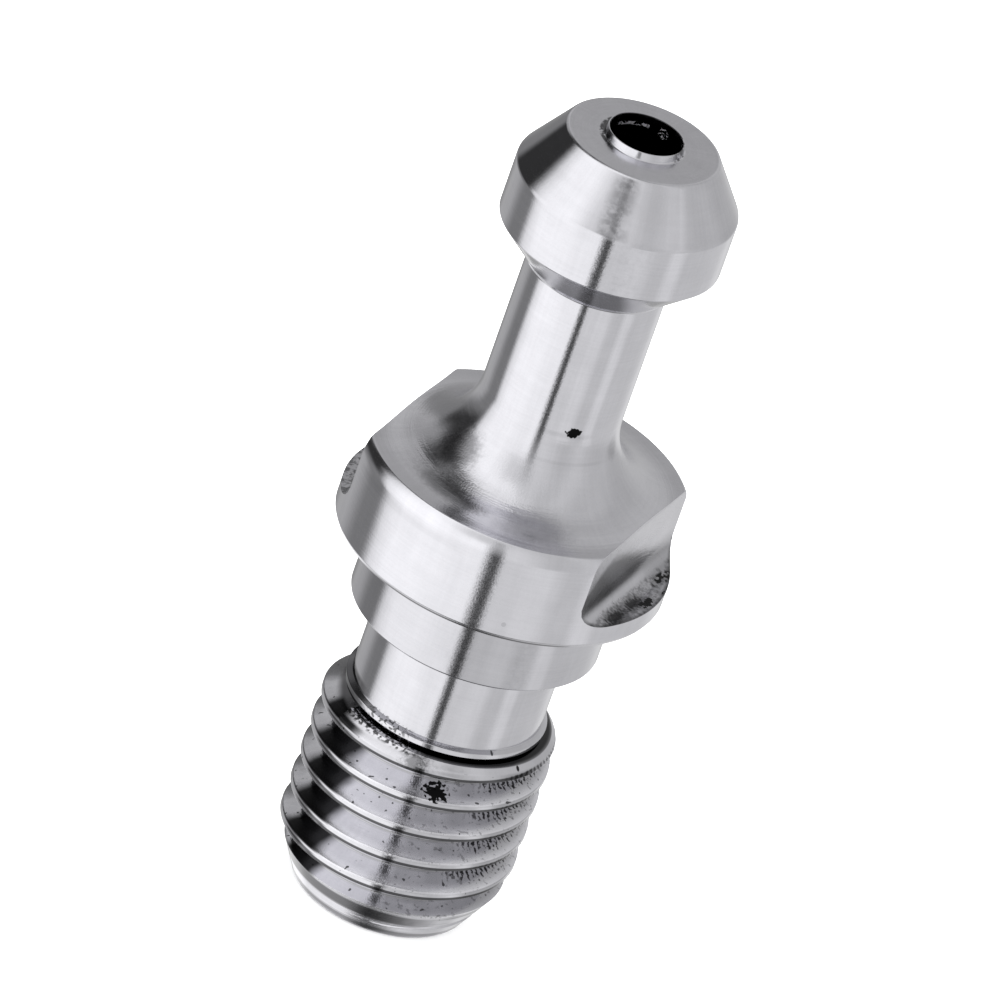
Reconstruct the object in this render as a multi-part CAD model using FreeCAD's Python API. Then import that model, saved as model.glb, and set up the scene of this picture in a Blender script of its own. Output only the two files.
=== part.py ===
import FreeCAD, Part
import math
import os

os.makedirs("parts", exist_ok=True)

# ---------------------------------------------------------------- sizes, mm
# Heights are measured from the flange's seating face, z = 0, head up.
face_z = 23.52            # end face of the head
lip_z = 23.9              # raised lip round the mouth of the bore
lip_foot_r = 1.97
lip_top_r = 1.87
mouth_r = 1.82            # slight flare of the bore at its mouth
mouth_z = 23.6
nose_r = 3.77             # edge between the end face and the nose cone
head_r = 5.5              # head, 11 mm across
cone_z = 20.92            # nose cone meets the head's band
band_z = 18.1             # gripping edge: band meets the 45 degree underside
neck_r = 3.5              # neck, 7 mm across
neck_fillet_r = 4.0       # sweep from the neck into the flange
flange_z = 5.0            # flange thickness
flange_r = 8.25           # flange, 16.5 mm across
flange_round_r = 1.13     # soft outer edge of the flange's top
flange_round_z = 4.2      # where that edge runs out on the side
flat_x = 6.45             # wrench flats, 12.9 mm across
ledge_z = 1.15            # floor of the wrench notches
notch_corner_r = 1.0      # corner between flat and floor
pilot_r = 6.25            # locating pilot, 12.5 mm across
pilot_z = -4.0
undercut_r = 4.8          # thread relief
join_z = -7.0             # a plane inside the relief, where the shank is joined on
undercut_z = -9.0         # end of the relief, where the thread runs out
collar_r = 5.06           # narrow collar near the end of the relief
collar_heights = (-8.45, -8.6, -8.86, -8.92)
lead_r = 5.42             # foot of the 45 degree lead-in to the thread
lead_z = -9.09
thread_r = 5.87           # crest of the M12 thread
pitch = 1.75
crest_flat = 0.36
root_arc_r = 0.15
crest_break = 0.05        # broken edges of the crest
thread_phase_z = -11.919  # height of one groove's middle on the +X side
bar_z = -22.0             # end of the bar while the thread is cut
end_z = -20.05            # threaded end
end_chamfer = 1.45        # long taper of the end, across
end_chamfer_h = 2.8       # along the axis
bore_r = 1.75             # through coolant hole
bore_foot = 0.35          # chamfer at the threaded end
edge_break = 0.12         # broken edges on the flange and pilot
small_round = 0.25        # soft edges on the head


def V(r, z):
    return FreeCAD.Vector(r, 0, z)


# ------------------------------------------------- turned profile, r against z
def rounded_corner(a, b, c, rad):
    """Points where a corner at b leaves and rejoins its sides, with the arc's middle."""
    u = FreeCAD.Vector(a).sub(b)
    w = FreeCAD.Vector(c).sub(b)
    u.normalize()
    w.normalize()
    half = u.getAngle(w) / 2.0
    back = rad / math.tan(half)
    axis = u.add(w)
    axis.normalize()
    centre = b.add(FreeCAD.Vector(axis).multiply(rad / math.sin(half)))
    mid = centre.sub(FreeCAD.Vector(axis).multiply(rad))
    return (b.add(FreeCAD.Vector(u).multiply(back)), mid,
            b.add(FreeCAD.Vector(w).multiply(back)))


def build_upper_profile():
    edges = []

    def line(p, q):
        edges.append(Part.makeLine(p, q))

    def arc(p, m, q):
        edges.append(Part.Arc(p, m, q).toShape())

    mouth_foot = V(bore_r, mouth_z)
    mouth_in = V(mouth_r, lip_z)
    mouth_out = V(lip_top_r, lip_z)
    lip_foot = V(lip_foot_r, face_z)
    nose = V(nose_r, face_z)
    cone_foot = V(head_r, cone_z)
    band_foot = V(head_r, band_z)
    under_foot = V(neck_r, band_z - (head_r - neck_r))
    neck_foot = V(neck_r, flange_z + neck_fillet_r)
    sweep_mid = V(neck_r + neck_fillet_r * (1 - math.cos(math.pi / 4)),
                  flange_z + neck_fillet_r * (1 - math.sin(math.pi / 4)))
    sweep_foot = V(neck_r + neck_fillet_r, flange_z)
    rc = flange_r - flange_round_r
    dz = flange_z - flange_round_z
    top_edge = V(rc + math.sqrt(flange_round_r ** 2 - dz ** 2), flange_z)
    half = math.asin(dz / flange_round_r) / 2.0
    round_mid = V(rc + flange_round_r * math.cos(half),
                  flange_round_z + flange_round_r * math.sin(half))
    round_foot = V(flange_r, flange_round_z)

    # end face with the bore's lip, then the soft nose edge
    n1, nm, n2 = rounded_corner(lip_foot, nose, cone_foot, small_round)
    c1, cm, c2 = rounded_corner(nose, cone_foot, band_foot, 0.4)
    b1, bm, b2 = rounded_corner(cone_foot, band_foot, under_foot, 0.12)
    u1, um, u2 = rounded_corner(band_foot, under_foot, neck_foot, 0.3)
    line(mouth_in, mouth_out)
    line(mouth_out, lip_foot)
    line(lip_foot, n1)
    arc(n1, nm, n2)
    line(n2, c1)
    arc(c1, cm, c2)
    line(c2, b1)
    arc(b1, bm, b2)
    line(b2, u1)
    arc(u1, um, u2)
    line(u2, neck_foot)
    arc(neck_foot, sweep_mid, sweep_foot)
    line(sweep_foot, top_edge)
    arc(top_edge, round_mid, round_foot)
    line(round_foot, V(flange_r, edge_break))
    line(V(flange_r, edge_break), V(flange_r - edge_break, 0))
    line(V(flange_r - edge_break, 0), V(pilot_r, 0))
    line(V(pilot_r, 0), V(pilot_r, pilot_z + edge_break))
    line(V(pilot_r, pilot_z + edge_break), V(pilot_r - edge_break, pilot_z))
    r1, rm, r2 = rounded_corner(V(pilot_r, pilot_z), V(undercut_r, pilot_z),
                                V(undercut_r, join_z), 0.4)
    line(V(pilot_r - edge_break, pilot_z), r1)
    arc(r1, rm, r2)
    line(r2, V(undercut_r, join_z))
    line(V(undercut_r, join_z), V(bore_r, join_z))
    line(V(bore_r, join_z), mouth_foot)
    line(mouth_foot, mouth_in)
    return Part.Face(Part.Wire(edges))


def turned(profile):
    shape = profile.revolve(FreeCAD.Vector(0, 0, 0), FreeCAD.Vector(0, 0, 1), 360)
    return shape if shape.ShapeType == "Solid" else shape.Solids[0]


def turned_ring(*points):
    return turned(Part.Face(Part.makePolygon(list(points) + [points[0]])))


# The head, neck, flange and pilot, down to a plane inside the thread relief.
upper = turned(build_upper_profile())

# ------------------------------------------------------- right-hand thread
# A 60 degree groove with a rounded root is swept up the helix and cut from a
# plain bar. The relief, the end chamfer and the bore are then turned on it.
tan30 = math.tan(math.radians(30))
root_v = thread_r - (pitch - crest_flat) / 2.0 / tan30      # sharp bottom of the V
root_r = root_v + root_arc_r                                # bottom of the arc
tangent_r = root_v + 1.5 * root_arc_r
tangent_h = root_arc_r * math.cos(math.radians(30))
break_r = thread_r - crest_break                            # crest edge is broken from here
break_h = (break_r - root_v) * tan30
outer_r = thread_r + 0.03
outer_h = break_h + (outer_r - break_r) / tan30
turns_below = 6
turns_total = 7.658                                         # ends in the run-out groove
groove_z = thread_phase_z - turns_below * pitch

upper_side = [V(outer_r, outer_h), V(break_r, break_h), V(tangent_r, tangent_h)]
lower_side = [V(p.x, -p.z) for p in reversed(upper_side)]
groove = Part.Wire([
    Part.makeLine(upper_side[0], upper_side[1]),
    Part.makeLine(upper_side[1], upper_side[2]),
    Part.Arc(upper_side[2], V(root_r, 0), lower_side[0]).toShape(),
    Part.makeLine(lower_side[0], lower_side[1]),
    Part.makeLine(lower_side[1], lower_side[2]),
    Part.makeLine(lower_side[2], upper_side[0])])
helix = Part.makeHelix(pitch, turns_total * pitch, thread_r)
cutter = Part.Wire(helix.Edges).makePipeShell([groove], True, True)
cutter.translate(FreeCAD.Vector(0, 0, groove_z))
bar = Part.makeCylinder(thread_r, join_z - bar_z, V(0, bar_z))
clear_r = thread_r + 0.4
relief = turned_ring(V(undercut_r, join_z + 1), V(undercut_r, undercut_z),
                     V(lead_r, lead_z), V(clear_r, lead_z - (clear_r - lead_r)),
                     V(clear_r, join_z + 1))
end_cut = turned_ring(V(0, end_z), V(thread_r - end_chamfer, end_z),
                      V(clear_r, end_z + end_chamfer_h
                        + (clear_r - thread_r) * end_chamfer_h / end_chamfer),
                      V(clear_r, end_z - 4), V(0, end_z - 4))
bore = turned_ring(V(0, join_z + 1), V(bore_r, join_z + 1),
                   V(bore_r, end_z + bore_foot),
                   V(bore_r + bore_foot + 0.5, end_z - 0.5), V(0, end_z - 0.5))
c0, c1, c2, c3 = collar_heights
collar = turned_ring(V(undercut_r - 0.5, c0), V(undercut_r, c0), V(collar_r, c1),
                     V(collar_r, c2), V(undercut_r, c3), V(undercut_r - 0.5, c3))
shank = bar.cut(cutter).cut(relief).cut(end_cut).cut(bore)
body = upper.fuse(shank).fuse(collar).removeSplitter()

# ---------------------------------------------------------- wrench notches
for side in (1, -1):
    corner = Part.Arc(
        V(flat_x, ledge_z + notch_corner_r),
        V(flat_x + notch_corner_r * (1 - math.cos(math.pi / 4)),
          ledge_z + notch_corner_r * (1 - math.sin(math.pi / 4))),
        V(flat_x + notch_corner_r, ledge_z)).toShape()
    top = flange_z + 1.0
    out = flange_r + 1.0
    notch = Part.Face(Part.Wire([
        Part.makeLine(V(flat_x, top), V(flat_x, ledge_z + notch_corner_r)),
        corner,
        Part.makeLine(V(flat_x + notch_corner_r, ledge_z), V(out, ledge_z)),
        Part.makeLine(V(out, ledge_z), V(out, top)),
        Part.makeLine(V(out, top), V(flat_x, top))]))
    block = notch.extrude(FreeCAD.Vector(0, 2 * flange_r + 2, 0))
    block.translate(FreeCAD.Vector(0, -flange_r - 1, 0))
    if side < 0:
        block.rotate(FreeCAD.Vector(0, 0, 0), FreeCAD.Vector(0, 0, 1), 180)
    body = body.cut(block)

solid = body.Solids[0]
print("solids", len(body.Solids), "valid", solid.isValid(),
      "volume", round(solid.Volume, 2), "mm3",
      "box", [round(v, 3) for v in (solid.BoundBox.XMin, solid.BoundBox.XMax,
                                    solid.BoundBox.YMin, solid.BoundBox.YMax,
                                    solid.BoundBox.ZMin, solid.BoundBox.ZMax)])
solid.exportStep("parts/pull_stud.step")
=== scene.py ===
import math

import bpy
import numpy as np
from mathutils import Matrix, Vector


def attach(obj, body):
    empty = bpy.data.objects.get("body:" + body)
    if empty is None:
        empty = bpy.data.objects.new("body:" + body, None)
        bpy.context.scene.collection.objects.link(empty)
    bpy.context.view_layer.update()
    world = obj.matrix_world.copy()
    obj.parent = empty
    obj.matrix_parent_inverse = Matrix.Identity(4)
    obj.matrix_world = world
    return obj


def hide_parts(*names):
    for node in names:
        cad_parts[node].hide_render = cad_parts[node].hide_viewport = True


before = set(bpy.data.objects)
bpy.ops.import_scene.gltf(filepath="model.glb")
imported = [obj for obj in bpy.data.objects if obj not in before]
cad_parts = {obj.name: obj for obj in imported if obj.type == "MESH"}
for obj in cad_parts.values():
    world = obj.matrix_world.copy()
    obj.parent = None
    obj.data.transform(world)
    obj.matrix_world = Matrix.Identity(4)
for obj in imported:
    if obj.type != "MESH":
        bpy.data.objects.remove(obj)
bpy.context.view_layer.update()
MM = 0.001

# ------------------------------------------------------------------ sizes, mm
FACE_Z = 23.52
LIP_Z = 23.9
FLANGE_R = 8.25
FLAT_X = 6.45
LEDGE_Z = 1.15
CORNER_R = 1.0
THREAD_R = 5.87
PITCH = 1.75
END_Z = -20.05
END_R = 4.42                # radius of the end face, at the foot of its long taper
BORE_R = 1.75
GROOVE_Z0 = -22.419        # middle of the lowest groove at the +X side
GROOVE_END = 236.88        # where the top groove stops, degrees from +X
CAMERA_AZ = -73.28         # side of the part that faces the camera, degrees


# --------------------------------------------------- turned section, top down
class Section:
    """Rows down one side of the turned section: radius, height and direction."""

    def __init__(self):
        self.rows = []

    def add(self, r, z, tr, tz):
        n = math.hypot(tr, tz)
        row = (r, z, tr / n, tz / n)
        if self.rows:
            last = self.rows[-1]
            if max(abs(a - b) for a, b in zip(last, row)) < 1e-6:
                return
        self.rows.append(row)

    def line(self, p, q, n=1):
        tr, tz = q[0] - p[0], q[1] - p[1]
        if math.hypot(tr, tz) < 1e-6:
            return
        for i in range(n + 1):
            f = i / n
            self.add(p[0] + tr * f, p[1] + tz * f, tr, tz)

    def arc(self, centre, rad, a0, a1, n):
        s = 1.0 if a1 > a0 else -1.0
        for i in range(n + 1):
            a = a0 + (a1 - a0) * i / n
            self.add(centre[0] + rad * math.cos(a), centre[1] + rad * math.sin(a),
                     -s * math.sin(a), s * math.cos(a))

    def path(self, points):
        """points are (r, z, rounding, arc rows, rows of the line that follows)."""
        here = points[0][:2]
        for k in range(1, len(points)):
            b = points[k]
            rows = points[k - 1][4]
            if k == len(points) - 1 or b[2] <= 0:
                self.line(here, b[:2], rows)
                here = b[:2]
                continue
            a, c = points[k - 1][:2], points[k + 1][:2]
            u = Vector((a[0] - b[0], a[1] - b[1])).normalized()
            w = Vector((c[0] - b[0], c[1] - b[1])).normalized()
            half = math.acos(max(-1.0, min(1.0, u.dot(w)))) / 2
            back = b[2] / math.tan(half)
            mid = (u + w).normalized() * (b[2] / math.sin(half))
            centre = (b[0] + mid.x, b[1] + mid.y)
            p = (b[0] + u.x * back, b[1] + u.y * back)
            q = (b[0] + w.x * back, b[1] + w.y * back)
            self.line(here, p, rows)
            a0 = math.atan2(p[1] - centre[1], p[0] - centre[0])
            a1 = math.atan2(q[1] - centre[1], q[0] - centre[0])
            while a1 - a0 > math.pi:
                a1 -= 2 * math.pi
            while a1 - a0 < -math.pi:
                a1 += 2 * math.pi
            self.arc(centre, b[2], a0, a1, b[3])
            here = q


upper = Section()
upper.path([
    (BORE_R, 22.6, 0, 0, 2),
    (BORE_R, 23.6, 0.3, 3, 2),
    (1.82, LIP_Z, 0.02, 2, 1),
    (1.87, LIP_Z, 0.03, 3, 2),
    (1.97, FACE_Z, 0.09, 4, 4),
    (3.77, FACE_Z, 0.25, 6, 4),
    (5.5, 20.92, 0.4, 5, 4),
    (5.5, 18.1, 0.12, 4, 4),
    (3.5, 16.1, 0.3, 5, 7),
    (3.5, 5.0, 4.0, 30, 2),
    (7.86, 5.0, 0, 0, 0),
])
rc, rr = 7.12, 1.13
top = Section()
top.rows = list(upper.rows)
a_top = math.asin(0.8 / rr)
top.add(rc + rr * math.cos(a_top - 0.04), 4.2 + rr * math.sin(a_top - 0.04),
        math.sin(a_top - 0.04), -math.cos(a_top - 0.04))
top.arc((rc, 4.2), rr, a_top - 0.04, 0.0, 7)

lower = Section()
lower.path([
    (FLANGE_R, 0.2, 0.05, 2, 1),
    (8.14, 0.0, 0.03, 2, 2),
    (6.25, 0.0, 0.04, 2, 4),
    (6.25, -3.88, 0.03, 2, 1),
    (6.13, -4.0, 0.03, 2, 2),
    (4.8, -4.0, 0.4, 5, 4),
    (4.8, -8.45, 0.03, 2, 1),
    (5.06, -8.6, 0.05, 3, 1),
    (5.06, -8.86, 0.03, 2, 1),
    (4.8, -8.92, 0.02, 1, 1),
    (4.8, -9.0, 0, 0, 0),
])

# ------------------------------------------------------------ angular columns
edge_deg = math.degrees(math.acos(FLAT_X / FLANGE_R))
extra = []
for middle in (0.0, 180.0):
    for s in (-1, 1):
        for d in (-0.75, -0.13, 0.13, 0.75):
            extra.append((middle + s * (edge_deg + d)) % 360)
extra += [GROOVE_END - 0.35, GROOVE_END - 0.03, GROOVE_END + 0.03, GROOVE_END + 0.35]
even = [d for d in np.arange(0, 360, 1.5)
        if min(abs((d - e + 180) % 360 - 180) for e in extra) > 0.45]
columns = np.radians(np.array(sorted(even + extra)))
NC = len(columns)


# ------------------------------------------------ upper zone, flats and ledge
base_r = np.array([r[0] for r in top.rows])
base_z = np.array([r[1] for r in top.rows])
cut_from = int(np.argmax((base_r > 6.3) & (base_z < 9)))
fine = Section()
fine.arc((7.5, 9.0), 4.0, math.radians(-115), math.radians(-90), 60)
fine.line((7.5, 5.0), (7.86, 5.0), 4)
fine.arc((rc, 4.2), rr, a_top - 0.04, 0.0, 60)
fine_rows = np.array(fine.rows)
order = np.argsort(fine_rows[:, 0], kind="stable")
fine_rows = fine_rows[order]
BEVEL = 0.02


def upper_zone(th):
    """Rows (radius, height, direction) of the zone above z = 0.24 at angles th."""
    n = len(th)
    c = np.abs(np.cos(th))
    flat_r = FLAT_X / np.maximum(c, 1e-3)
    inside = flat_r < FLANGE_R
    out = []
    for i, (r, z, tr, tz) in enumerate(top.rows):
        R, Z = np.full(n, r), np.full(n, z)
        TR, TZ = np.full(n, tr), np.full(n, tz)
        if i >= cut_from:
            lim = flat_r - BEVEL
            hit = inside & (R > lim)
            R = np.where(hit, lim, R)
            Z = np.where(hit, np.interp(lim, fine_rows[:, 0], fine_rows[:, 1]), Z)
            TR = np.where(hit, np.interp(lim, fine_rows[:, 0], fine_rows[:, 2]), TR)
            TZ = np.where(hit, np.interp(lim, fine_rows[:, 0], fine_rows[:, 3]), TZ)
        out.append((R, Z, TR, TZ))
    wall = np.where(inside, flat_r, FLANGE_R)
    z_hi = np.where(inside, np.interp(flat_r, fine_rows[:, 0], fine_rows[:, 1]) - BEVEL,
                    4.2 - BEVEL)
    z_lo = LEDGE_Z + CORNER_R
    for f in np.linspace(0, 1, 7):
        out.append((wall, z_hi + (z_lo - z_hi) * f, np.zeros(n), -np.ones(n)))
    cx = FLAT_X + CORNER_R
    reach = FLANGE_R * c - BEVEL
    a_max = np.where(inside, np.arccos(np.clip(cx - reach, 0, 1)), 0.0)
    for f in np.linspace(0, 1, 13)[1:]:
        a = a_max * f
        x = cx - np.cos(a)
        out.append((np.where(inside, x / c, FLANGE_R),
                    np.where(inside, z_lo - np.sin(a), z_lo),
                    np.where(inside, np.sin(a) / c, 0.0), -np.cos(a)))
    x_in = np.minimum(cx, reach)
    z_end = np.where(inside, z_lo - np.sin(a_max), z_lo)
    for f in (0.0, 0.5, 1.0):
        x = x_in + (reach - x_in) * f
        on = inside & (reach > cx)
        out.append((np.where(inside, x / c, FLANGE_R), z_end,
                    np.where(on, 1.0, np.where(inside, np.sin(a_max) / c, 0.0)),
                    np.where(on, 0.0, -np.cos(a_max))))
    z_cyl = z_end - np.where(inside, BEVEL, 0.0)
    for f in np.linspace(0, 1, 6):
        out.append((np.full(n, FLANGE_R), z_cyl + (0.24 - z_cyl) * f,
                    np.zeros(n), -np.ones(n)))
    return out


def points_of(R, Z, th):
    return np.stack([R * np.cos(th), R * np.sin(th), Z], -1)


P_rows, N_rows = [], []
zone_now = upper_zone(columns)
zone_next = upper_zone(columns + 1e-5)
for (R, Z, TR, TZ), (R2, Z2, _a, _b) in zip(zone_now, zone_next):
    P = points_of(R, Z, columns)
    D = (points_of(R2, Z2, columns + 1e-5) - P) / 1e-5
    S = np.stack([TR * np.cos(columns), TR * np.sin(columns), TZ], -1)
    N = np.cross(S, D)
    P_rows.append(P)
    N_rows.append(N / np.linalg.norm(N, axis=1)[:, None])


def turned_rows(rows):
    for r, z, tr, tz in rows:
        P = points_of(np.full(NC, r), np.full(NC, z), columns)
        S = np.stack([tr * np.cos(columns), tr * np.sin(columns), np.full(NC, tz)], -1)
        D = np.stack([-np.sin(columns), np.cos(columns), np.zeros(NC)], -1)
        N = np.cross(S, D)
        P_rows.append(P)
        N_rows.append(N / np.linalg.norm(N, axis=1)[:, None])


turned_rows(lower.rows)

# --------------------------------------------------------------- thread zone
ROOT_V = THREAD_R - (PITCH - 0.36) / 2 / math.tan(math.radians(30))
ROUND_C = 0.16             # rounding of the crest's upper edge
ROUND_D = 0.05             # and of its lower edge
END_ROUND = 0.3            # soft corner between the end's taper and its face
T30 = math.tan(math.radians(30))


def groove(h):
    """Radius of the thread's surface at a height h from the groove's middle."""
    up = h < 0                              # the flank below the middle faces up
    c = np.where(up, ROUND_C, ROUND_D)
    h = np.abs(h)
    root = ROOT_V + 0.3 - np.sqrt(np.maximum(0.15 ** 2 - h ** 2, 0))
    flank = ROOT_V + h / T30
    hf = (THREAD_R - ROOT_V) * T30          # flank meets the crest
    hc = hf + c * T30                       # arc leaves the crest
    ha = hf - c * T30 * 0.5
    crest_arc = THREAD_R - c + np.sqrt(np.maximum(c ** 2 - (h - hc) ** 2, 0))
    r = np.where(h < 0.15 * math.cos(math.radians(30)), root, flank)
    r = np.where(h > ha, crest_arc, r)
    return np.where(h > hc, THREAD_R, r)


def envelope(z):
    ramp = 4.8 + (-9.0 - z) * (0.62 / 0.09)
    lead = 5.42 + (-9.09 - z)
    foot = END_R + (z - END_Z) * (1.45 / 2.8)
    drop = np.maximum(END_ROUND ** 2 - (z - END_Z - END_ROUND) ** 2, 0)
    foot = np.where(z < END_Z + 0.54 * END_ROUND,
                    END_R - 0.608 * END_ROUND + np.sqrt(drop), foot)
    return np.minimum(np.minimum(ramp, lead), np.minimum(foot, THREAD_R))


def thread_surface(z, th):
    deg = np.degrees(th) % 360
    t = (z - GROOVE_Z0) / PITCH - deg / 360
    k = np.clip(np.round(t), 0, np.where(deg < GROOVE_END, 7, 6))
    return np.minimum(envelope(z), groove((t - k) * PITCH))


def thread_row(z):
    R = thread_surface(z, columns)
    e, d = 1e-4, 1e-5
    rz = (thread_surface(z + e, columns) - thread_surface(z - e, columns)) / (2 * e)
    rt = (thread_surface(z, columns + d) - thread_surface(z, columns - d)) / (2 * d)
    rt = np.where(np.abs(rt) > 20, 0, rt)
    er = np.stack([np.cos(columns), np.sin(columns), np.zeros(NC)], -1)
    et = np.stack([-np.sin(columns), np.cos(columns), np.zeros(NC)], -1)
    N = er - (rt / R)[:, None] * et
    N[:, 2] = -rz
    P_rows.append(points_of(R, z, columns))
    N_rows.append(N / np.linalg.norm(N, axis=1)[:, None])


for z in list(np.linspace(-9.0, -9.09, 4)) + list(np.linspace(-9.09, -9.56, 18))[1:]:
    thread_row(np.full(NC, z))
Z_HI, Z_LO = -9.56, END_Z + 0.54 * END_ROUND + 0.02
hf = (THREAD_R - ROOT_V) * T30
steps = [0.0, 0.05, 0.09, 0.13, 0.27, 0.41, 0.55, hf - 0.047, hf - 0.02, hf,
         hf + 0.02, hf + 0.055, hf + 0.095]
cell = sorted([-s for s in steps[1:]] + steps, reverse=True)
climb = PITCH * np.degrees(columns) / 360


def row_height(k, s):
    """Height of a helical row; where the end's taper lowers the crests, the rows
    on the flanks draw in so that one of them stays on the crest's edge."""
    middle = GROOVE_Z0 + k * PITCH + climb
    h = s
    for _ in range(6):
        edge = np.clip((envelope(middle + h) - ROOT_V) * T30, 0.2, hf)
        edge = np.where(middle + h > -14.0, hf, edge)
        near = s * edge / hf
        far = np.sign(s) * (edge + (abs(s) - hf) * (PITCH / 2 - edge) / (PITCH / 2 - hf))
        h = near if abs(s) <= hf else far
    return middle + h


helix_at = len(P_rows)
for k in range(8, -1, -1):
    for s in cell:
        thread_row(np.clip(row_height(k, s), Z_LO, Z_HI))
helix_to = len(P_rows)
for a in np.radians(np.linspace(27.4, 90, 8)):
    thread_row(np.full(NC, END_Z + END_ROUND * (1 - math.sin(a))))

# ------------------------------------------------------- threaded end and bore
end = Section()
end.path([
    (END_R - 0.608 * END_ROUND, END_Z, 0, 0, 3),
    (BORE_R + 0.35, END_Z, 0.04, 2, 2),
    (BORE_R, END_Z + 0.35, 0.04, 2, 6),
    (BORE_R, 22.6, 0, 0, 0),
])
turned_rows(end.rows)

# ------------------------------------------------------------------- the mesh
P = np.stack(P_rows)
N = np.stack(N_rows)
NR = len(P)
key = np.round(P.reshape(-1, 3) * 2e4).astype(np.int64)
_u, first, joined = np.unique(key, axis=0, return_index=True, return_inverse=True)
joined = joined.reshape(-1)
verts = P.reshape(-1, 3)[first] * MM
shift = len(cell)
faces, corners = [], []


def face(ids):
    kept = []
    for i in ids:
        if not kept or joined[i] != joined[kept[-1]]:
            kept.append(i)
    if len(kept) > 1 and joined[kept[0]] == joined[kept[-1]]:
        kept.pop()
    if len(kept) >= 3 and len({joined[i] for i in kept}) == len(kept):
        faces.append([joined[i] for i in kept])
        corners.extend(kept)


for i in range(NR):
    j = (i + 1) % NR
    for c in range(NC):
        d = (c + 1) % NC
        if d == 0 and helix_at <= i < helix_to:
            continue
        if d == 0 and i == helix_at - 1:
            continue
        face([i * NC + c, j * NC + c, j * NC + d, i * NC + d])
# The helical rows climb one pitch in a turn, so their seam joins a row to the
# row one pitch on. Rows past either end of the zone all lie on its edge.
c, d = NC - 1, 0
for i in range(helix_at - 1, helix_to):
    a, b = i, i + 1
    a2, b2 = a - shift, b - shift
    a2, b2 = max(a2, helix_at - 1), max(b2, helix_at - 1)
    if i == helix_at - 1:
        a2 = helix_at - 1
    face([a * NC + c, b * NC + c, b2 * NC + d, a2 * NC + d])
for i in range(helix_to - shift, helix_to):
    face([helix_to * NC + c, (i + 1) * NC + d, i * NC + d])

mesh = bpy.data.meshes.new("pull_stud_body")
mesh.from_pydata(verts.tolist(), [], faces)
mesh.validate(verbose=False)
mesh.polygons.foreach_set("use_smooth", [True] * len(mesh.polygons))
mesh.normals_split_custom_set(N.reshape(-1, 3)[corners].tolist())
mesh.update()
stud = bpy.data.objects.new("pull_stud_body", mesh)
bpy.context.scene.collection.objects.link(stud)
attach(stud, "root")
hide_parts("pull_stud")
print("mesh", len(verts), "verts", sum(len(f) - 2 for f in faces), "triangles")


# ------------------------------------------------------------ node expressions
class Field:
    """A number that varies over a surface or over directions, built from nodes."""

    def __init__(self, tree, socket):
        self.tree, self.socket = tree, socket

    def op(self, kind, *others, clamp=False):
        node = self.tree.nodes.new("ShaderNodeMath")
        node.operation = kind
        node.use_clamp = clamp
        for i, v in enumerate((self,) + others):
            if isinstance(v, Field):
                self.tree.links.new(v.socket, node.inputs[i])
            else:
                node.inputs[i].default_value = v
        return Field(self.tree, node.outputs[0])

    def __add__(self, o): return self.op("ADD", o)
    def __radd__(self, o): return self.op("ADD", o)
    def __sub__(self, o): return self.op("SUBTRACT", o)
    def __rsub__(self, o): return self.op("MULTIPLY", -1.0).op("ADD", o)
    def __mul__(self, o): return self.op("MULTIPLY", o)
    def __rmul__(self, o): return self.op("MULTIPLY", o)
    def __truediv__(self, o): return self.op("DIVIDE", o)
    def abs(self): return self.op("ABSOLUTE")
    def max(self, o): return self.op("MAXIMUM", o)
    def min(self, o): return self.op("MINIMUM", o)

    def step(self, a, b, smooth=True):
        """0 below a, 1 above b."""
        node = self.tree.nodes.new("ShaderNodeMapRange")
        node.interpolation_type = "SMOOTHSTEP" if smooth else "LINEAR"
        self.tree.links.new(self.socket, node.inputs["Value"])
        flip = b < a
        node.inputs["From Min"].default_value = b if flip else a
        node.inputs["From Max"].default_value = a if flip else b
        node.inputs["To Min"].default_value = 1.0 if flip else 0.0
        node.inputs["To Max"].default_value = 0.0 if flip else 1.0
        return Field(self.tree, node.outputs[0])

    def band(self, a, b, soft_a, soft_b=None):
        """1 between a and b, with soft edges."""
        soft_b = soft_a if soft_b is None else soft_b
        return self.step(a - soft_a, a + soft_a) * self.step(b + soft_b, b - soft_b)


def lerp(a, b, f):
    return a + (b - a) * f if isinstance(a, Field) or isinstance(b, Field) else f * (b - a) + a


def rel(angle, centre):
    """Angle from a centre, wrapped to -180..180, in degrees."""
    return (angle - centre).op("WRAP", 180.0, -180.0)


# --------------------------------------------------------------------- world
scene = bpy.context.scene
world = bpy.data.worlds.new("soft_studio")
scene.world = world
world.use_nodes = True
world.cycles.sampling_method = "NONE"      # the glossy rays find the studio themselves
wt = world.node_tree
wt.nodes.clear()
coord = wt.nodes.new("ShaderNodeTexCoord")
split = wt.nodes.new("ShaderNodeSeparateXYZ")
wt.links.new(coord.outputs["Generated"], split.inputs[0])
dx, dy, dz = (Field(wt, split.outputs[i]) for i in range(3))
DEG = 180 / math.pi
az = rel(dy.op("ARCTAN2", dx) * DEG, CAMERA_AZ)
el = dz.op("ARCSINE") * DEG

# right side: an even light grey wall with two faint folds, lighter by the table
low = el.step(-12, -24)
wall = 0.84 - az.step(14, 42) * 0.17
wall = wall + az.band(56, 74, 9) * 0.09
wall = wall - az.step(76, 98) * 0.04 - az.step(106, 132) * 0.08
wall = wall + az.step(140, 160) * 0.05
near = 0.845 + az.band(24, 41, 6, 5) * 0.05 - az.step(40, 53) * 0.13
near = near + az.band(67, 83, 5) * 0.17 + az.step(130, 156) * 0.12 - az.step(152, 172) * 0.20
level = lerp(wall, near, low)
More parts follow.
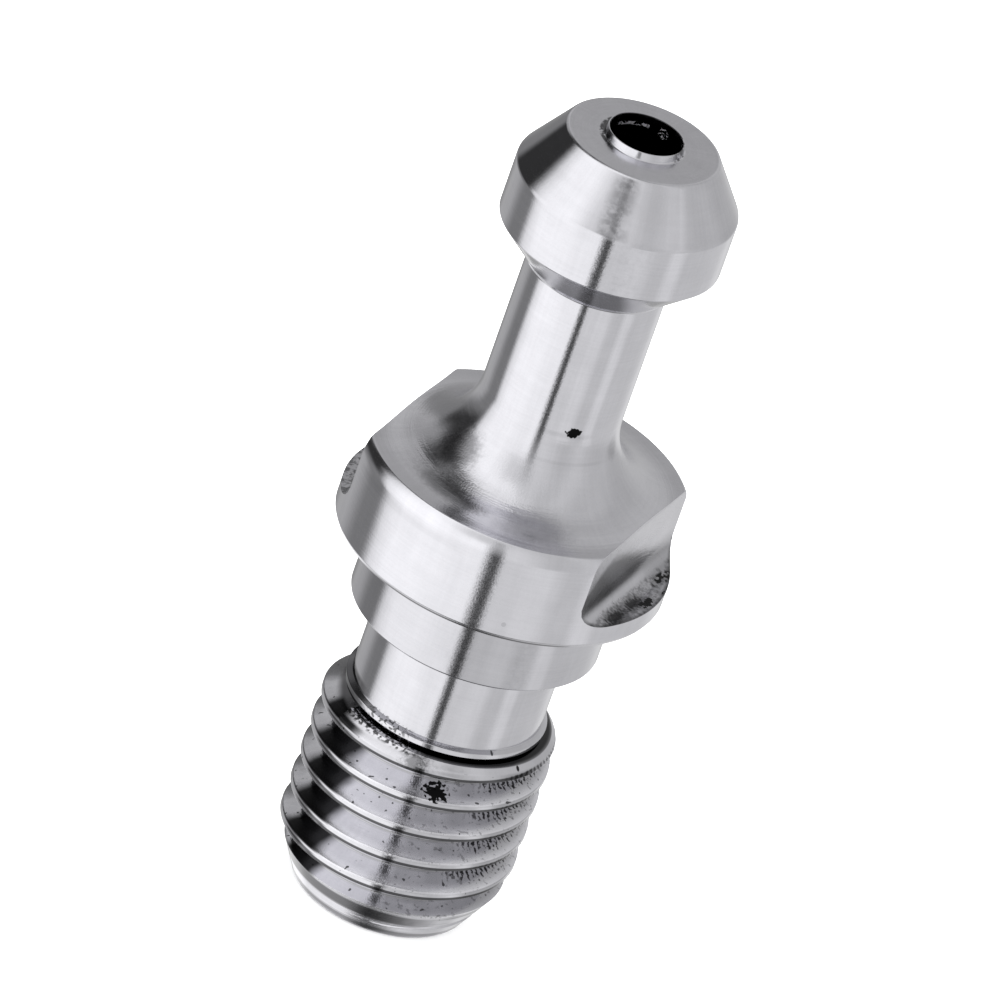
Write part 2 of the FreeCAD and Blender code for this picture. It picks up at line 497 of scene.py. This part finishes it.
# left front: a white softbox, a little weaker towards the middle
white = 1.33 - az.step(-46, -22) * 0.12
white = white - az.step(-52, -8) * 0.36 * el.step(8, 33) * el.step(62, 50)
white = white - el.step(44, 60) * az.step(-50, -76) * 0.16
edge = -7.0
level = lerp(level, white, az.band(-84.5, edge, 15.5, 2.5))
# far left: mid grey, darker by the table, with a black panel in front of it
back = 0.25 + el.step(6, 15) * 0.37
back = back - el.step(32, 46) * 0.18
side = 0.25 + az.step(-109, -133) * 0.24 - az.step(-146, -164) * 0.17 - az.step(-160, -176) * 0.08
back = lerp(back, side, low)
left = az.step(-86, -98)
level = lerp(level, back, left)
panel = az.band(-140, -96, 6, 7) * el.band(-7, 52, 9, 5)
panel = panel.max(az.band(-166, -99, 10, 17) * el.band(55, 69, 5, 4))
level = lerp(level, 0.04, panel)
level = lerp(level, 0.42, az.band(-158, -125, 8) * el.band(15, 34, 8))
# narrow dark gap in front, which closes upwards
gap = az.band(-4.0, 4.4, 3.2, 2.6)
level = lerp(level, lerp(0.11, 0.56, el.step(-34, 38)), gap * el.step(58, 44))
# overhead: light in front, greyer to the right and behind
up = 1.12 - az.step(-22, 14) * 0.22 - az.step(28, 64) * 0.32
up = up - az.step(-94, -138) * 0.62 - az.step(84, 122) * 0.22
level = lerp(level, up, el.step(66, 77))
# straight down the reflections are dark in front, light to the sides
down = 0.88 - az.step(-94, -60) * 0.52 - az.step(-34, -10) * 0.20
down = down + az.step(6, 16) * 0.10 + az.step(66, 112) * 0.42
under_head = az.abs().step(161, 168) * el.step(-39, -43)
level = lerp(level, down, el.step(-43, -53))
level = lerp(level, 1.10, az.step(-132, -146) * el.band(-52, -35, 3))
level = lerp(level, 0.38, under_head)
level = lerp(level, 0.13, el.step(-72, -80) * az.band(-70, 75, 25))
level = lerp(level, 0.45, az.abs().step(165, 180))       # the two sides meet softly behind

glow = wt.nodes.new("ShaderNodeBackground")
glow.inputs["Color"].default_value = (1.0, 1.0, 1.0, 1.0)
wt.links.new(level.socket, glow.inputs["Strength"])
# the table and the backdrop are lit evenly
path = wt.nodes.new("ShaderNodeLightPath")
plain = Field(wt, path.outputs["Is Diffuse Ray"]).max(Field(wt, path.outputs["Is Camera Ray"]))
even = wt.nodes.new("ShaderNodeBackground")
even.inputs["Color"].default_value = (1.0, 1.0, 1.0, 1.0)
even.inputs["Strength"].default_value = 2.5
pick = wt.nodes.new("ShaderNodeMixShader")
wt.links.new(plain.socket, pick.inputs[0])
wt.links.new(glow.outputs[0], pick.inputs[1])
wt.links.new(even.outputs[0], pick.inputs[2])
out = wt.nodes.new("ShaderNodeOutputWorld")
wt.links.new(pick.outputs[0], out.inputs[0])

# ------------------------------------------------------------------- material
steel = bpy.data.materials.new("ground_steel")
steel.use_nodes = True
mt = steel.node_tree
mt.nodes.clear()
bsdf = mt.nodes.new("ShaderNodeBsdfPrincipled")
mout = mt.nodes.new("ShaderNodeOutputMaterial")
mt.links.new(bsdf.outputs[0], mout.inputs[0])
bsdf.inputs["Metallic"].default_value = 1.0

where = mt.nodes.new("ShaderNodeTexCoord")
parts = mt.nodes.new("ShaderNodeSeparateXYZ")
mt.links.new(where.outputs["Object"], parts.inputs[0])
X, Y, Z = (Field(mt, parts.outputs[i]) * 1000.0 for i in range(3))
R = (X * X + Y * Y).op("SQRT")
ANG = Y.op("ARCTAN2", X) * DEG
PHI = rel(ANG, CAMERA_AZ)          # 0 on the side that faces the camera
CX, CY = X / R, Y / R


def noise(x, y, z, detail=2.0, rough=0.5):
    """Soft noise, about 0.5, over three coordinates."""
    join = mt.nodes.new("ShaderNodeCombineXYZ")
    for i, v in enumerate((x, y, z)):
        mt.links.new(v.socket, join.inputs[i])
    node = mt.nodes.new("ShaderNodeTexNoise")
    node.inputs["Scale"].default_value = 1.0
    node.inputs["Detail"].default_value = detail
    node.inputs["Roughness"].default_value = rough
    mt.links.new(join.outputs[0], node.inputs["Vector"])
    return Field(mt, node.outputs[0])


def spot(p, q, p0, q0, w, h, ragged=0.6, soft=0.2, chips=0.0):
    """A mark w by h round a place, with a ragged edge and loose chips round it."""
    a, b = (p - p0) * (1 / w), (q - q0) * (1 / h)
    d = (a * a + b * b).op("SQRT") + (blotch_s - 0.5) * ragged
    if chips:
        d = d + (chip - 0.5) * chips
    return d.step(1 + soft, 1 - soft)


def stain(tone, mask, value):
    """Multiply the tone by a value where the mask is 1."""
    return tone * (1.0 + mask * (value - 1.0))


lines = noise(CX * 1.3, CY * 1.3, (Z + R) * 8.0, 2.0, 0.6)       # turning lines
fine_lines = noise(CX * 2.0, CY * 2.0, (Z + R) * 26.0, 0.0)
streak = noise(CX * 22.0, CY * 22.0, Z * 0.22, 1.0, 0.5)         # faint axial streaks
grain = noise(X * 11.0, Y * 11.0, Z * 11.0, 1.0, 0.6)
blotch = noise(X * 0.75, Y * 0.75, Z * 0.75, 2.0, 0.55)
blotch_s = noise(X * 2.9 + Y * 1.8, Y * 2.9 - X * 1.8, Z * 3.4 + Y * 0.9, 2.0, 0.65)
chip = noise(X * 5.1 + Y * 3.9, Y * 5.3 - X * 3.7, Z * 6.3 + X * 1.3, 0.0)

T = (Z - GROOVE_Z0) / PITCH - ANG / 360.0
H = (T - T.op("ROUND")) * PITCH     # height from the middle of the thread's groove
on_thread = Z.step(-9.30, -9.42) * Z.step(-18.35, -18.15)
up_flank = H.step(0.03, -0.03) * H.step(-0.76, -0.68) * on_thread
S = H * (-1 / 0.70)                 # 0 at the root, 1 at the crest's upper edge
crest = H.abs().step(0.68, 0.74) * on_thread
under = H.band(0.69, 0.845, 0.025) * on_thread       # lower half of the crest
wob = PHI + (blotch - 0.5) * 16.0
wob_s = PHI + (blotch_s - 0.5) * 14.0

tone = 1.0 + (blotch - 0.5) * 0.14 + (lines - 0.5) * 0.10 + (streak - 0.5) * 0.08
tone = tone + (grain - 0.5) * 0.07

# painted reflection: the dark stripe down the front, where the dark gap in front reflects, is darkened
# where the grain is high and lightened at chips
stripe = PHI.band(-3.0, 2.8, 2.0) * Z.step(20.9, 20.7)
stripe = stripe * Z.band(4.3, 8.7, 0.2, 0.8).op("SUBTRACT", 1.0).abs()
tone = stain(tone, stripe * grain.step(0.47, 0.60), 0.62)
tone = stain(tone, stripe * chip.step(0.62, 0.74), 1.25)

# pilot: a little greyer than the head and flange, lighter in a band just right of the front; the undercut
# below it a touch greyer
pilot = Z.band(-4.06, -0.03, 0.03)
tone = stain(tone, pilot, 0.91)
tone = stain(tone, pilot * PHI.step(1, 8) * PHI.step(31, 25), 1.08)
tone = stain(tone, Z.band(-8.5, -4.06, 0.03), 0.96)
# painted shade: a dark line along the flange's lower edge, above the pilot
tone = stain(tone, Z.band(0.0, 0.13, 0.04) * R.step(7.9, 8.1) * wob.band(-40, 32, 8), 0.35)

# thread: painted shade, black on the left and darker towards the roots and under the crests; painted
# highlight along the upper edges of the crests
left = (PHI + (blotch - 0.5) * 6.0).band(-65, -36, 3.5, 5)
tone = stain(tone, up_flank * left, 0.045)
right = PHI.step(2, 7) * PHI.step(168, 130)
tone = stain(tone, up_flank * wob.step(-80, -92) * PHI.step(-170, -130), 0.45)
tone = stain(tone, up_flank * wob.step(-66, -71) * wob.step(-84, -76), 1.25)
tone = stain(tone, crest * wob.band(-62, -37, 4) * H.abs().step(0.80, 0.84), 0.30)
tone = stain(tone, up_flank * wob.band(-33, -4, 4) * S.step(0.50, 0.9), 1.18)
tone = stain(tone, up_flank * right * S.step(0.85, 0.5), 0.68)
tone = stain(tone, up_flank * right * S.step(0.72, 0.95), 1.25)
# painted shade towards the roots of the flanks
tone = stain(tone, up_flank * S.step(0.20, 0.04), 0.5)
# painted shade: a dark line under each crest, where it drops into the groove
tone = stain(tone, under * wob.band(-48, 64, 8), 0.16)
tone = stain(tone, crest * PHI.band(42, 74, 6), 0.70)
tone = stain(tone, up_flank * blotch_s.step(0.58, 0.68) * right, 0.60)
flecks = noise(X * 3.1 + Y * 2.6, Y * 3.3 - X * 2.4, Z * 4.6, 0.0)
tone = stain(tone, (up_flank + crest).min(1.0) * flecks.step(0.79, 0.825), 0.18)

# chatter marks that hang under the crests on the right
wave = (PHI + S * 3.2) * (360 / 3.3) / DEG + (blotch_s - 0.5) * 10.0
wedge = S + (chip - 0.5) * 0.9 + wob.step(62, 32) * 0.22
tick = wave.op("SINE").step(-0.25, 0.25) * wedge.step(0.62, 0.45)
chatter = tick * wob_s.step(29, 43) * wob.step(138, 96) * up_flank * Z.step(-16.6, -15.9)
tone = stain(tone, chatter * blotch.step(0.30, 0.42), 0.07)
tone = stain(tone, H.band(0.70, 0.86, 0.03) * on_thread * tick * PHI.step(40, 50) * wob.step(138, 96) * Z.step(-16.6, -15.9), 0.30)

# painted shade: the groove under the collar is black across the front and right, greyer elsewhere; dirt: a
# ragged ring along it, one splash on the thread, small dashes
ring = Z.band(-9.10, -8.88, 0.035) * R.step(5.6, 5.5)
black_ring_shade = wob.step(-14, 2) * PHI.step(172, 130)
tone = stain(tone, ring * black_ring_shade, 0.04)
tone = stain(tone, ring * (1.0 - black_ring_shade), 0.70)
ragged_ring = Z.band(-9.26, -8.86, 0.07) * wob_s.band(-54, -3, 6)
tone = stain(tone, ragged_ring * (chip * 0.6 + blotch_s * 0.4).step(0.44, 0.55), 0.12)
tone = stain(tone, Z.band(-8.80, -8.40, 0.05) * wob_s.band(-40, -12, 6) * (chip * 0.5 + blotch_s * 0.5).step(0.50, 0.56), 0.25)
tone = stain(tone, Z.band(-9.45, -8.0, 0.12) * wob.step(-48, -60) * PHI.step(-165, -120), 0.25)
# painted reflection: the dark front stripe carried down onto the lead-in; painted shade over the lead-in's
# left part
tone = stain(tone, Z.band(-10.0, -9.12, 0.08) * wob_s.band(-9, 3, 4), 0.42)
tone = stain(tone, Z.band(-10.0, -9.12, 0.08) * wob.band(-50, -9, 8) * H.abs().step(0.3, 0.5), 0.84)
tone = stain(tone, spot(PHI, Z, 11.3, -10.87, 5.2, 0.22, 1.1, 0.10, 2.3), 0.02)
tone = stain(tone, spot(PHI, Z, 52.6, -9.22, 0.9, 0.11, 0.6), 0.05)
tone = stain(tone, spot(PHI, Z, 36.8, -8.55, 0.7, 0.09, 0.5), 0.15)
tone = stain(tone, spot(PHI, Z, 25.8, 9.10, 6.4, 0.27, 1.3, 0.08, 0.7), 0.012)
pit = spot(PHI, Z, 9.9, 0.85, 0.8, 0.12, 0.8)
tone = stain(tone, pit, 0.82)

# end of the thread: painted shade and painted highlight bands on the end's taper, and darker turning lines
end_zone = Z.step(-18.15, -18.35)
tone = stain(tone, end_zone * Z.band(-18.95, -18.2, 0.10) * wob.band(-120, 30, 12), 0.30)
tone = stain(tone, end_zone * Z.band(-19.50, -19.02, 0.06) * wob.step(40, 16) * PHI.step(-170, -140), 1.36)
tone = stain(tone, end_zone * Z.band(-19.86, -19.60, 0.05), 0.50)
tone = stain(tone, end_zone * lines.step(0.56, 0.66), 0.80)

# end face, lip, bore and nose cone; painted shade makes the bore black inside, with painted glints near
# its mouth
mouth = R.step(1.84, 1.80) * Z.step(20.0, 21.0)
glint = spot(PHI, Z, 154.0, 23.35, 9.0, 0.28, 0.8, 0.15, 1.6)
glint = glint * (chip * 0.5 + grain * 0.5).step(0.44, 0.52)
glint = glint.max(Z.band(23.30, 23.50, 0.05) * PHI.step(-118, -130) * chip.step(0.34, 0.50))
tone = stain(tone, mouth * (1.0 - glint), 0.03)
tone = stain(tone, mouth * glint, 1.4)
lip_dirt = R.band(1.9, 2.2, 0.05) * Z.step(23.44, 23.5) * wob.band(-128, -42, 12)
tone = stain(tone, lip_dirt * blotch_s.step(0.36, 0.52), 0.16)
lip_right = R.band(1.78, 2.0, 0.04) * Z.step(23.44, 23.5) * wob.band(58, 125, 10)
tone = stain(tone, lip_right * blotch_s.step(0.44, 0.56), 0.25)
lip_back = R.band(1.80, 2.02, 0.04) * Z.step(23.44, 23.5) * PHI.abs().step(110, 130)
tone = stain(tone, lip_back, 0.20)
cone = R.step(3.75, 3.85) * Z.band(20.95, 23.4, 0.06)
# painted reflection of the dark front stripe on the nose cone, with smudges over it
smear_and_stripe_shade = cone * (PHI + (blotch - 0.5) * 7.0).band(-7, 6, 4.5)
smudge = noise(X * 1.8 + Y * 0.7, Y * 1.8 - X * 0.7, Z * 3.0, 2.0, 0.6)
tone = stain(tone, smear_and_stripe_shade, 0.80)
tone = stain(tone, smear_and_stripe_shade * smudge.step(0.36, 0.66), 0.66)
tone = stain(tone, smear_and_stripe_shade * Z.band(22.3, 22.9, 0.2) * smudge.step(0.62, 0.45), 0.84)
tone = stain(tone, PHI.band(36.5, 41, 1.6) * cone, 1.10)

# sweep and flange top: painted dark reflection patches and painted shade on the sweep; faint darker bands
# on the sweep and at the neck's foot
tone = stain(tone, spot(PHI, R, 13.0, 6.35, 15.0, 0.75, 0.8, 0.5), 0.80)
tone = stain(tone, spot(PHI, R, -31.0, 6.3, 17.0, 0.50, 0.9, 0.5) * Z.step(4.9, 4.98), 0.55)
tone = stain(tone, spot(PHI, Z, -47.0, 6.35, 13.0, 0.75, 0.9, 0.5) * R.step(3.6, 3.9), 0.45)
tone = stain(tone, spot(PHI, Z, 72.0, 7.95, 6.0, 0.50, 0.8, 0.5), 0.78)
tone = stain(tone, Z.band(8.78, 9.05, 0.10) * wob_s.band(4, 40, 6), 0.88)
tone = stain(tone, Z.band(7.45, 7.60, 0.04) * wob_s.band(-4, 60, 12), 0.93)

# painted highlight along the flange's soft edge, with a fainter painted shade band under it
tone = stain(tone, Z.band(4.30, 4.80, 0.12) * R.step(7.6, 7.8) * wob.band(-72, 10, 9), 1.09)
tone = stain(tone, Z.band(3.70, 4.08, 0.14) * R.step(8.20, 8.24) * wob.band(-62, -14, 10), 0.93)

# wrench notches: rough milled; a painted dark reflection on the flat wall, darker towards the corner, with
# dark patches and specks on the ledge
notch = X.abs().step(6.44, 6.447) * Z.step(1.12, 1.145) * R.step(8.247, 8.243)
wall_a, wall_b = Z + Y * 0.369 - 3.45, Z - Y * 0.854 - 7.485
wall_c = wall_a - wall_b
wall_line = (wall_a + wall_b + (wall_c * wall_c + 0.9).op("SQRT")) * 0.5 + (blotch_s - 0.5) * 0.40
# painted dark reflection over the flat wall above a slanted line
wall_painted_reflection = notch * X.step(0.0, 1.0) * wall_line.step(0.34, -0.40) * Z.step(1.50, 1.90)
tone = stain(tone, wall_painted_reflection * Y.step(3.0, 0.6), 0.36)
tone = stain(tone, wall_painted_reflection * Y.step(0.6, 3.0), 0.70)
tone = stain(tone, wall_painted_reflection * spot(Y, Z, -1.3, 2.15, 3.4, 0.32, 0.6, 0.5), 0.62)
tone = stain(tone, notch * X.step(0.0, 1.0) * wall_line.step(-0.2, 0.1), 0.97)
floor_dirt = notch * X.abs().step(6.75, 6.95)
tone = stain(tone, floor_dirt, 0.80)
tone = stain(tone, floor_dirt * blotch_s.step(0.40, 0.62), 0.55)
tone = stain(tone, notch * X.step(0.0, 1.0) * Y.step(1.0, 3.0) * Z.step(3.0, 2.0), 0.78)
patch = spot(Y, X, -2.4, 7.35, 1.05, 0.38, 1.6, 0.70, 1.2)
patch = patch.max(spot(Y, X, -0.6, 7.40, 0.85, 0.33, 1.6, 0.70, 1.2))
tone = stain(tone, notch * patch, 0.09)
tone = stain(tone, notch * X.step(0.0, 1.0) * Z.step(2.0, 1.3) * R.step(8.02, 8.20), 0.45)
bits = (flecks * 0.7 + chip * 0.3).step(0.53, 0.57)
bit_zone = spot(Y, X, 0.1, 7.85, 0.65, 0.30, 0.5).max(spot(Y, X, 2.7, 7.35, 1.0, 0.30, 0.5))
bit_zone = bit_zone.max(spot(Y, X, 1.8, 7.95, 0.5, 0.12, 0.5))
tone = stain(tone, notch * bit_zone * bits, 0.02)
tone = stain(tone, notch * bit_zone, 0.85)
tone = stain(tone, notch * spot(Y, X, 0.05, 7.82, 0.48, 0.20, 0.9, 0.15, 1.8), 0.02)
far_notch = notch * X.step(0, -1)
tone = stain(tone, far_notch * blotch_s.step(0.46, 0.62), 0.62)
tone = stain(tone, far_notch * Z.step(1.5, 2.3) * Z.step(4.5, 3.2), 0.45)

tone = tone.max(0.008).min(1.42)
mix = mt.nodes.new("ShaderNodeCombineColor")
for i, c in enumerate((0.66, 0.657, 0.690)):
    mt.links.new((tone * c).socket, mix.inputs[i])
mt.links.new(mix.outputs[0], bsdf.inputs["Base Color"])

# roughness: polished cylinders, softer turned sweep, faces, flanks and notches
rough = 0.085 + (lines - 0.5) * 0.05 + (blotch_s - 0.5) * 0.04
rough = rough + Z.band(4.90, 8.3, 0.04, 0.7) * R.step(3.55, 4.3) * R.step(8.1, 7.9) * 0.10
rough = rough + Z.step(23.40, 23.46) * R.step(1.9, 2.0) * 0.13
rough = rough + up_flank * S.step(0.35, 0.75) * 0.17
rough = rough + notch * 0.20
rough = rough + mouth * glint * 0.55
mt.links.new(rough.max(0.05).socket, bsdf.inputs["Roughness"])

bump = mt.nodes.new("ShaderNodeBump")
bump.inputs["Distance"].default_value = 7e-6
deep = 0.145 + (R.step(3.6, 4.4) * Z.band(5.0, 8.6, 0.3)) * 0.45 + notch * 0.8 + up_flank * 0.22
mt.links.new(deep.min(1.0).socket, bump.inputs["Strength"])
height = lines * 2.4 + fine_lines * 0.8 + grain * 1.3
mt.links.new(height.socket, bump.inputs["Height"])
mt.links.new(bump.outputs[0], bsdf.inputs["Normal"])
stud.data.materials.append(steel)

# --------------------------------------------------------------------- camera
cam_data = bpy.data.cameras.new("camera")
cam_data.sensor_width = 36.0
cam_data.lens = 483.88
cam_data.clip_start = 0.01
cam_data.clip_end = 20.0
camera = bpy.data.objects.new("camera", cam_data)
scene.collection.objects.link(camera)
x_axis = Vector((0.8536918, 0.4319785, 0.2908692))
y_axis = Vector((-0.4564469, 0.3517445, 0.8172711))
z_axis = Vector((0.2507318, -0.8304640, 0.4974566))
turn = Matrix((x_axis, y_axis, z_axis)).transposed().to_4x4()
camera.matrix_world = Matrix.Translation(Vector((160.5732, -534.3792, 322.5083)) * MM) @ turn
scene.camera = camera

# ---------------------------------------------------------------------- floor
floor_mesh = bpy.data.meshes.new("floor")
ring = [(0.9 * math.cos(a), 0.9 * math.sin(a), (END_Z - 0.01) * MM)
        for a in np.linspace(0, 2 * math.pi, 65)[:-1]]
floor_mesh.from_pydata(ring, [], [list(range(64))])
floor = bpy.data.objects.new("floor", floor_mesh)
scene.collection.objects.link(floor)
paper = bpy.data.materials.new("white_paper")
paper.use_nodes = True
pb = paper.node_tree.nodes["Principled BSDF"]
pb.inputs["Base Color"].default_value = (0.93, 0.93, 0.93, 1)
pb.inputs["Roughness"].default_value = 0.9
pb.inputs["Specular IOR Level"].default_value = 0.0
floor_mesh.materials.append(paper)
floor.visible_glossy = False

scene.view_settings.view_transform = "Standard"
scene.view_settings.look = "None"
scene.view_settings.exposure = 0.0
scene.view_settings.gamma = 1.0
